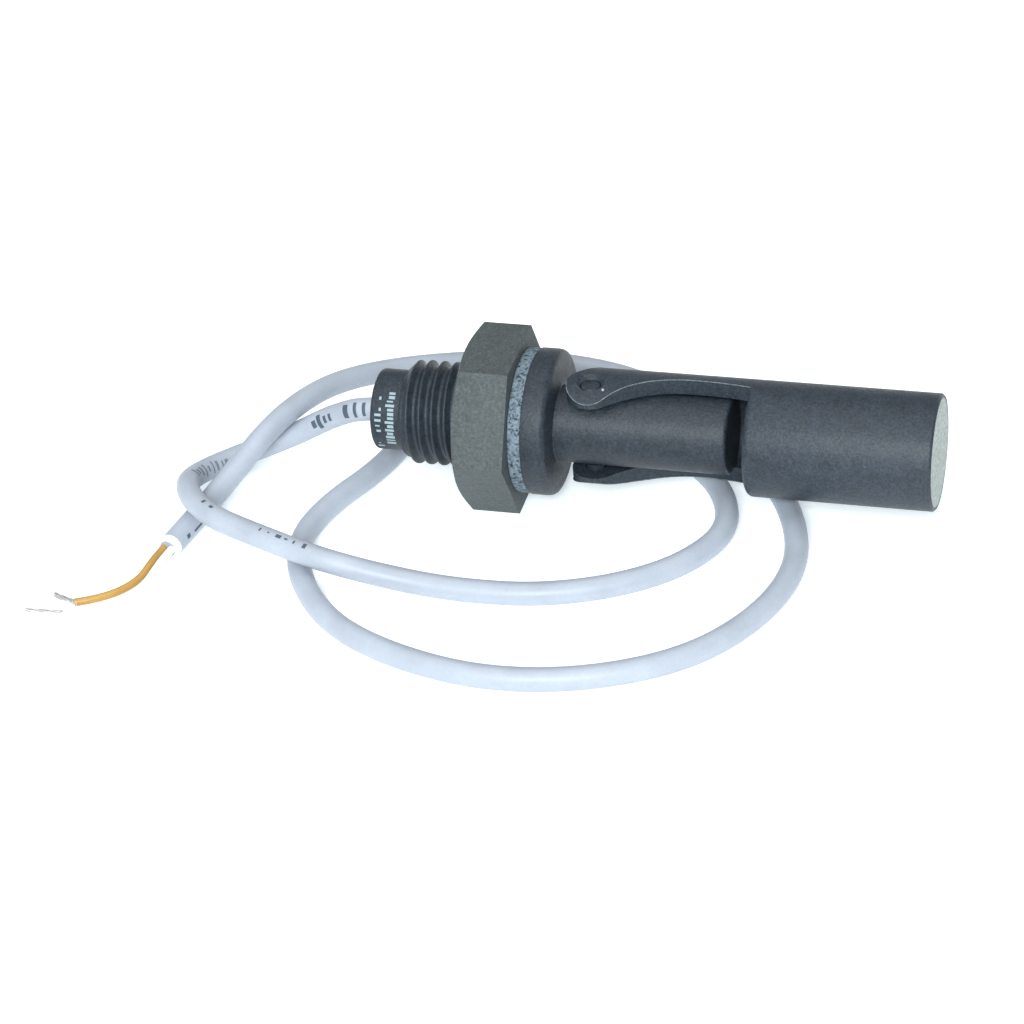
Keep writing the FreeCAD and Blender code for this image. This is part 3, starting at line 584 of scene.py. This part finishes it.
class LEVEL_OT_cable(bpy.types.Operator):
    """Lay the cable, its stripped cores and their tinned ends"""
    bl_idname = "level.cable"
    bl_label = "Cable"

    def execute(self, context):
        cable = context.scene.level_cable
        sheath_plastic = smooth_sheath("sheath_plastic", tuple(cable.colour), rough=(0.40, 0.52), soft=0.15)
        sheath, centreline = lay_cord("cable", CABLE_ROUTE, cable.diameter, sheath_plastic, "cable_grey",
                                      replaces=("cable_sheath",))
        metal = bare_metal("tinned_strands", (0.80, 0.79, 0.76), rough=(0.3, 0.5), dull=0.3)
        with_cable = []
        for colour, side, route, tip, shade in (
                ("brown", 1, BROWN_ROUTE, BROWN_TIP, (0.44, 0.25, 0.060)),
                ("white", -1, WHITE_ROUTE, WHITE_TIP, (0.86, 0.85, 0.82))):
            plastic = smooth_sheath(colour + "_insulation", shade, rough=(0.3, 0.45), soft=0.1)
            with_cable += self.lay_core(cable, colour, side, route, Vector(tip), plastic, metal)
        radius = cable.diameter / 2
        with_cable.append(self.fill_end(radius))
        [tuple(point) for point in centreline]
        self.print_sheath(Guide(centreline), radius)
        return {"FINISHED"}

    def lay_core(self, cable, colour, side, route, tip, plastic, metal):
        """One insulated core, from inside the sheath, and its bare strands."""
        inside, straight, overlap = 1.0 * MM, 3.5 * MM, 0.6 * MM
        start = SHEATH_END + ACROSS_CORES * side * cable.core_spacing / 2
        near = start - SHEATH_HEADING * inside
        clear = start + SHEATH_HEADING * straight
        core, _ = lay_cord(colour + "_lead", [tuple(near), tuple(start), tuple(clear)] + route,
                           cable.core_diameter, plastic, "core_" + colour, replaces=(colour + "_core",))
        end = Vector(route[-1])
        covered = end + (end - tip).normalized() * overlap
        strands = strand_bundle(colour + "_strands", covered, tip, cable.bare_diameter, metal,
                                replaces=(colour + "_core_tip",))
        return [core, strands]

    def fill_end(self, radius):
        """The sheath's cut end, which shows its pale filling round the cores."""
        depth, edge, inner = 1.1 * MM, 0.10 * MM, radius * 0.70
        shape = bmesh.new()
        turned(shape, rounded([(-depth, inner, 0.0), (-depth, radius, 0.0), (0.0, radius, edge),
                               (0.0, inner, edge)]), steps=48)
        close_and_orient(shape)
        aim(shape, SHEATH_END, SHEATH_HEADING)
        filling = smooth_sheath("sheath_filling", (0.88, 0.90, 0.92), rough=(0.4, 0.55))
        return finish_piece(shape, "sheath_cut_end", "housing", "cable_grey", filling)

    def print_sheath(self, guide, radius):
        """The sheath's rows of plain ticks."""
        draws = random.Random(4)
        for name, ink, rows in CABLE_PRINT:
            shape = bmesh.new()
            for begin, count, step, turn, lengths, widths in rows:
                for index in range(count):
                    start = (begin + index * step) * MM
                    length = draws.choice(lengths) * MM
                    width = draws.choice(widths) * MM
                    angle = guide.facing(start, PRINT_SIDE) + math.radians(turn)
                    lay_tick(shape, guide, radius, start, length, angle, width)
            finish_piece(shape, name, "housing", "cable_grey", smooth_sheath(name, ink, rough=(0.5, 0.7)))


# ---- the housing ----------------------------------------------------------------------------------------

class LEVEL_OT_body(bpy.types.Operator):
    """Turn the moulded body: plain end, shank, flange, closed stem and the hinge's two pins"""
    bl_idname = "level.body"
    bl_label = "Moulded body"

    def execute(self, context):
        body = context.scene.level_body
        plastic = moulded_plastic("body_plastic", tuple(body.colour))
        tail = BODY_LOW.x
        shoulder = tail + body.plain_length
        flange = body.flange_thickness
        tip = BODY_HIGH.x
        bore = PLUG_HIGH.y
        end_wall = 2.0 * MM
        core = body.root_radius - 0.4 * MM  # the thread's ridge is rooted this deep
        shape = bmesh.new()
        # from the stem's closed end along the outside to the cable end, and back along the bore
        turned(shape, rounded([
            (tip - end_wall, 0.0, 0.0), (tip, 0.0, 0.0), (tip, body.stem_radius, 0.7 * MM),
            (flange, body.stem_radius, 0.25 * MM), (flange, BODY_HIGH.y, 1.2 * MM),
            (0.0, BODY_HIGH.y, 0.15 * MM), (0.0, body.crest_radius, 0.0),
            (NUT_HIGH.x, body.crest_radius, 0.0), (NUT_HIGH.x, core, 0.0), (shoulder, core, 0.0),
            (shoulder, body.plain_radius, 0.0), (tail, body.plain_radius, 0.5 * MM), (tail, bore, 0.2 * MM),
            (tip - end_wall, bore, 0.0)]), body.turn_steps, closed=False)
        self.add_pins(shape, body)
        close_and_orient(shape)
        finish_piece(shape, "moulded_body", "housing", "body_plastic", plastic, smooth_angle=30.0,
                     replaces=("switch_body",))
        self.cut_thread(body, plastic, shoulder, core)
        self.print_end(body, tail)
        return {"FINISHED"}

    def add_pins(self, shape, body):
        """The hinge's two pins, rounded at their outer ends."""
        length, edge = 3.0 * MM, 0.3 * MM
        for side in (-1, 1):
            pin = bmesh.ops.create_cone(shape, cap_ends=True, segments=40, radius1=body.pin_radius,
                                        radius2=body.pin_radius, depth=length)["verts"]
            rim = edges_among([vertex for vertex in pin if vertex.co.z * side > 0])
            made = bmesh.ops.bevel(shape, geom=rim, offset=edge, offset_type="OFFSET", affect="EDGES",
                                   segments=3, profile=0.5, material=-1)
            corners = {vertex for face in made["faces"] for vertex in face.verts}
            corners.update(vertex for vertex in pin if vertex.is_valid)
            bmesh.ops.translate(shape, verts=list(corners),
                                vec=(HINGE.x, HINGE.y, side * (body.pin_reach - length / 2)))

    def cut_thread(self, body, plastic, shoulder, core):
        """One ridge, a pitch wide, screwed along the shank from the shoulder into the nut."""
        hidden = 1.0 * MM  # how far it runs on inside the nut
        thread = bmesh.new()
        depth = body.crest_radius - body.root_radius
        # the ridge's outline, as shares of the pitch and of the depth
        ridge = ((0.0, 0.0), (0.10, 0.02), (0.17, 0.14), (0.38, 0.86), (0.43, 0.97), (0.5, 1.0),
                 (0.57, 0.97), (0.62, 0.86), (0.83, 0.14), (0.90, 0.02), (1.0, 0.0))
        # the first full ridge is preceded by one that the shoulder's cut shortens
        begin = shoulder + body.thread_phase - 1.5 * body.pitch
        turns = math.ceil((NUT_HIGH.x - begin) / body.pitch) + 1
        steps = body.turn_steps
        points = [thread.verts.new((begin + share * body.pitch, 0.0, body.root_radius + height * depth))
                  for share, height in ridge]
        edges = [thread.edges.new(pair) for pair in zip(points, points[1:])]
        bmesh.ops.spin(thread, geom=points + edges, cent=(0, 0, 0), axis=(1, 0, 0),
                       angle=math.tau * turns, dvec=(body.pitch / steps, 0, 0), steps=steps * turns,
                       use_merge=False, use_duplicate=False)
        bmesh.ops.remove_doubles(thread, verts=thread.verts, dist=2 * MERGE)
        for place, side in ((shoulder, -1), (NUT_HIGH.x - hidden, 1)):
            everything = thread.verts[:] + thread.edges[:] + thread.faces[:]
            bmesh.ops.bisect_plane(thread, geom=everything, plane_co=(place, 0, 0), plane_no=(side, 0, 0),
                                   clear_outer=True)
        chamfer_start = body.plain_radius + 0.5 * MM
        for vertex in thread.verts:
            radius = math.hypot(vertex.co.y, vertex.co.z)
            allowed = chamfer_start + max(0.0, vertex.co.x - shoulder)
            if radius > allowed:
                scale_radius(vertex, allowed / radius)
        rims = [edge for edge in thread.edges if edge.is_boundary]
        inner = bmesh.ops.extrude_edge_only(thread, edges=rims)["geom"]
        for vertex in (item for item in inner if isinstance(item, bmesh.types.BMVert)):
            scale_radius(vertex, core / math.hypot(vertex.co.y, vertex.co.z))
        bmesh.ops.recalc_face_normals(thread, faces=thread.faces)
        finish_piece(thread, "shank_thread", "housing", "body_plastic", plastic, smooth_angle=50.0)

    def print_end(self, body, tail):
        """Two rows of plain pale ticks round the lower front of the cable end."""
        lead, sweep = 20.0, 92.0  # degrees from the row's first tick to the print's side and to its last
        # each row's place, longest tick, step in degrees and share of gaps
        rows = ((0.8 * MM, 1.0 * MM, 8.0, 0.35), (2.45 * MM, 1.4 * MM, 6.0, 0.1))
        shape = bmesh.new()
        axis = Guide([Vector((tail, 0, 0)), Vector((0, 0, 0))])
        first = axis.facing(0.0, PRINT_SIDE) - math.radians(lead)
        draws = random.Random(2)
        for start, longest, step, gap in rows:
            for index in range(round(sweep / step)):
                share = draws.choice((0.35, 0.7, 1.0))
                width = draws.choice((0.25, 0.4, 0.5)) * MM
                if draws.random() < gap:
                    continue
                lay_tick(shape, axis, body.plain_radius, start + draws.random() * (1 - share) * longest,
                         longest * share, first + math.radians(index * step), width)
        pale = smooth_sheath("pale_ink", (0.27, 0.34, 0.37), rough=(0.6, 0.8))
        finish_piece(shape, "end_ticks", "housing", "body_plastic", pale)


class LEVEL_OT_fittings(bpy.types.Operator):
    """Round the edges of the nut and the washer and give them their finish"""
    bl_idname = "level.fittings"
    bl_label = "Nut and washer"

    def execute(self, context):
        nut = moulded_plastic("nut_plastic", (0.061, 0.072, 0.073), blotch=1.0 * MM, contrast=0.22,
                              rough=(0.5, 0.7), fleck=0.3)
        softened_copy("hex_nut", "nut", "housing", "nut_plastic", nut, 0.25 * MM, angle=20.0)
        fibre = speckled_sheet("washer_fibre", (0.185, 0.238, 0.285), (0.010, 0.015, 0.020))
        softened_copy("sealing_washer", "washer", "housing", "washer_grey", fibre, 0.2 * MM)
        return {"FINISHED"}


class LEVEL_OT_float(bpy.types.Operator):
    """Finish the float's shell and its end disc"""
    bl_idname = "level.float"
    bl_label = "Float"

    def execute(self, context):
        settings = context.scene.level_float
        shade = tinted(context.scene.level_body.colour, 1.16)  # the float is the paler of the two
        plastic = moulded_plastic("float_plastic", shade, dust=0.15)
        front = SHELL_HIGH.x - FLOAT_LENGTH
        arm_end = front - 1.0 * MM
        hole_reach = settings.knuckle_radius - 0.5 * MM
        lobe_reach = settings.knuckle_radius + 0.3 * MM
        small = settings.small_edge / settings.edge

        def on_side(end):
            """On the float's round side."""
            return math.hypot(end.y, end.z) > SHELL_HIGH.y - 0.02 * MM

        def weigh(first, second):
            """The lobes' outlines are rounded most, the arm's rim half as much and the rest a little."""
            if not all(on_side(end) and end.x < arm_end for end in (first, second)):
                return small
            middle = (first + second) / 2
            reach = math.hypot(middle.x - HINGE.x, middle.y - HINGE.y)
            if reach < hole_reach:
                return small
            return 1.0 if reach < lobe_reach else 0.5

        def below_arms(end):
            """On the outer edge of the float's front face, clear of the arms."""
            return abs(end.x - front) < 0.05 * MM and on_side(end) and end.y < -0.5 * MM

        softened_copy("float_shell", "float_moulding", "float", "float_plastic", plastic, settings.edge,
                      angle=28.0, segments=4, weigh=weigh, larger=(below_arms, settings.front_edge))
        self.add_beads(place=HINGE + Vector((2.2 * MM, -1.2 * MM, 0)), radius=0.22 * MM)
        # painted highlight: a thin bead of plastic, far paler than the float, laid along each arm's rim,
        # paints the bright line that light draws on the rim's edge
        highlight_paint = moulded_plastic("rim_highlight_plastic", (0.12, 0.14, 0.155), blotch=0.8 * MM, contrast=0.5)
        for name, side in (("upper_rim_highlight", 1), ("lower_rim_highlight", -1)):
            lay_cord(name, self.rim_line(settings, side, front), settings.painted_highlight, highlight_paint, "float_plastic",
                     body="float")
        cap = moulded_plastic("cap_plastic", (0.37, 0.41, 0.385), blotch=0.6 * MM, contrast=0.35,
                              rough=(0.6, 0.8), fleck=0.35)
        softened_copy("float_end_cap", "end_disc", "float", "cap_plastic", cap, 0.12 * MM)
        return {"FINISHED"}

    def add_beads(self, place, radius):
        """A small bead of plastic, far paler than the float, on the float's round side beside each pin."""
        shape = bmesh.new()
        for side in (-1, 1):
            place.z = side * math.sqrt(SHELL_HIGH.y ** 2 - place.y ** 2)
            bmesh.ops.create_icosphere(shape, subdivisions=3, radius=radius,
                                       matrix=Matrix.Translation(place))
        pale_bead_finish = moulded_plastic("pale_bead_plastic", (0.30, 0.33, 0.36), contrast=0.1)
        finish_piece(shape, "pale_beads", "float", "float_plastic", pale_bead_finish)

    def rim_line(self, settings, side, front):
        """Where the arm's outline meets the float's round side: the lobe, the sweep that leaves it on a
        tangent, and the fall to the float's front. side is 1 for the upper arm and -1 for the lower."""
        lobe, rise = settings.knuckle_radius, settings.rim_height - HINGE.y
        sweep = (settings.rim_sweep ** 2 + rise ** 2 - lobe ** 2) / (2 * (lobe + rise))
        top = Vector((HINGE.x + settings.rim_sweep, settings.rim_height))
        run = front - top.x
        fall = (run ** 2 + settings.rim_drop ** 2) / (2 * settings.rim_drop)
        middle = top - Vector((0, sweep))
        leave = math.atan2(middle.y - HINGE.y, middle.x - HINGE.x)
        arcs = ((HINGE.xy, lobe, -math.pi, leave, 24), (middle, sweep, leave + math.pi, math.pi / 2, 20),
                (top - Vector((0, fall)), fall, math.pi / 2, math.acos(run / fall), 8))
        line = []
        for centre, radius, begin, end, steps in arcs:
            for step in range(1 if line else 0, steps + 1):
                angle = begin + (end - begin) * step / steps
                line.append(centre + Vector((math.cos(angle), math.sin(angle))) * radius)
        sunk = settings.painted_highlight / 4
        return [(point.x, point.y, side * (math.sqrt(SHELL_HIGH.z ** 2 - point.y ** 2) - sunk))
                for point in line]


class LEVEL_OT_inside(bpy.types.Operator):
    """Give every inner piece its finish"""
    bl_idname = "level.inside"
    bl_label = "Inner pieces"

    def execute(self, context):
        natural = moulded_plastic("natural_plastic", (0.62, 0.61, 0.56), contrast=0.1)
        ferrite = moulded_plastic("ferrite", (0.05, 0.05, 0.055), blotch=0.5 * MM, contrast=0.3,
                                  rough=(0.5, 0.75))
        glass = clear_glass("reed_glass", (0.75, 0.92, 0.80))
        blade = bare_metal("plated_blade", (0.78, 0.70, 0.50))
        solder = bare_metal("solder", (0.72, 0.72, 0.72))
        sleeve = moulded_plastic("shrink_sleeve", (0.02, 0.02, 0.02), contrast=0.3)
        resin = cast_resin("resin", (0.018, 0.018, 0.02))
        brown = bpy.data.materials["brown_insulation"]
        white = bpy.data.materials["white_insulation"]
        for node, material in (
                ("magnet_holder", natural), ("reed_carrier", natural), ("float_magnet", ferrite),
                ("reed_glass", glass), ("reed_blade_near", blade), ("reed_blade_far", blade),
                ("solder_joint_near", solder), ("solder_joint_far", solder), ("near_joint_sleeve", sleeve),
                ("potting_plug", resin), ("brown_core_inner", brown), ("white_core_inner", white)):
            for slot in frame["nodes"][node].material_slots:
                slot.material = material
        return {"FINISHED"}


# ---- the stage ------------------------------------------------------------------------------------------

def add_light(name, place, target, size, power, colour=(1.0, 1.0, 1.0)):
    """A soft rectangular light that points from its place at a target."""
    data = bpy.data.lights.new(name, "AREA")
    data.shape = "RECTANGLE"
    data.size, data.size_y = size
    data.energy = power
    data.color = colour
    light = bpy.data.objects.new(name, data)
    light.location = place
    light.rotation_mode = "QUATERNION"
    light.rotation_quaternion = (Vector(place) - Vector(target)).to_track_quat("Z", "Y")
    bpy.context.scene.collection.objects.link(light)


class LEVEL_OT_stage(bpy.types.Operator):
    """Set the camera, the floor and the studio lights"""
    bl_idname = "level.stage"
    bl_label = "Stage"

    def execute(self, context):
        stage = context.scene.level_stage
        camera = bpy.data.objects.new("camera", bpy.data.cameras.new("camera"))
        camera.data.sensor_width = 36.0
        camera.data.lens = stage.lens
        camera.data.clip_start, camera.data.clip_end = 0.01, 20.0
        back = Vector((math.sin(stage.azimuth) * math.cos(stage.elevation),
                       -math.cos(stage.azimuth) * math.cos(stage.elevation), math.sin(stage.elevation)))
        turn = back.to_track_quat("Z", "Y").to_matrix() @ Matrix.Rotation(stage.roll, 3, "Z")
        right, up, _ = turn.col
        camera.location = back * stage.distance - right * stage.sideways - up * stage.upwards
        camera.rotation_mode = "QUATERNION"
        camera.rotation_quaternion = turn.to_quaternion()
        context.scene.collection.objects.link(camera)
        context.scene.camera = camera

        shape = bmesh.new()
        sheet = bmesh.ops.create_grid(shape, x_segments=2, y_segments=2, size=3.0)["verts"]
        bmesh.ops.translate(shape, vec=(0, 0, NUT_LOW.z), verts=sheet)
        mesh = bpy.data.meshes.new("floor")
        shape.to_mesh(mesh)
        shape.free()
        finish = Finish("floor")
        grain = finish.noise(0.4, 2.0)
        floor_colour = tuple(stage.floor_colour)
        finish.colour(finish.ramp(grain, (0.3, tinted(floor_colour, 0.995)), (0.7, floor_colour)))
        finish.set(Roughness=0.9, Specular_IOR_Level=0.1, Emission_Color=(0.84, 0.96, 1.0, 1.0),
                   Emission_Strength=stage.floor_glow)
        mesh.materials.append(finish.material)
        floor = bpy.data.objects.new("floor", mesh)
        context.scene.collection.objects.link(floor)

        world = bpy.data.worlds.new("studio")
        world.use_nodes = True
        sky = world.node_tree.nodes["Background"]
        sky.inputs["Color"].default_value = (0.92, 0.97, 1.0, 1.0)
        sky.inputs["Strength"].default_value = 0.5
        context.scene.world = world
        context.scene.view_settings.view_transform = "Standard"
        add_light("front", place=(0.1, -0.85, 0.57), target=(0.01, 0, 0), size=(0.5, 0.4), power=12.5,
                  colour=(0.90, 0.97, 1.0))
        add_light("above", place=(-0.1, -0.1, 1.1), target=(0, 0, 0), size=(1.0, 1.0), power=6.0)
        return {"FINISHED"}


# ---- the add-on -----------------------------------------------------------------------------------------

class LEVEL_PT_panel(bpy.types.Panel):
    bl_idname = "LEVEL_PT_panel"
    bl_label = "Level switch"
    bl_space_type = "VIEW_3D"
    bl_region_type = "UI"
    bl_category = "Level switch"

    def draw(self, context):
        for group, kind in GROUPS.items():
            box = self.layout.box()
            for name in kind.__annotations__:
                box.prop(getattr(context.scene, group), name)
        for operator in OPERATORS:
            self.layout.operator(operator.bl_idname)


GROUPS = {"level_body": LEVEL_PG_body, "level_float": LEVEL_PG_float, "level_cable": LEVEL_PG_cable,
          "level_stage": LEVEL_PG_stage}
OPERATORS = (LEVEL_OT_stage, LEVEL_OT_cable, LEVEL_OT_body, LEVEL_OT_fittings, LEVEL_OT_float,
             LEVEL_OT_inside)
CLASSES = (*GROUPS.values(), *OPERATORS, LEVEL_PT_panel)


def register():
    for item in CLASSES:
        bpy.utils.register_class(item)
    for name, group in GROUPS.items():
        setattr(bpy.types.Scene, name, PointerProperty(type=group))


def unregister():
    for name in GROUPS:
        delattr(bpy.types.Scene, name)
    for item in reversed(CLASSES):
        bpy.utils.unregister_class(item)


def main():
    register()
    bpy.ops.level.stage()
    bpy.ops.level.cable()
    bpy.ops.level.body()
    bpy.ops.level.fittings()
    bpy.ops.level.float()
    bpy.ops.level.inside()


if __name__ == "__main__":
    main()
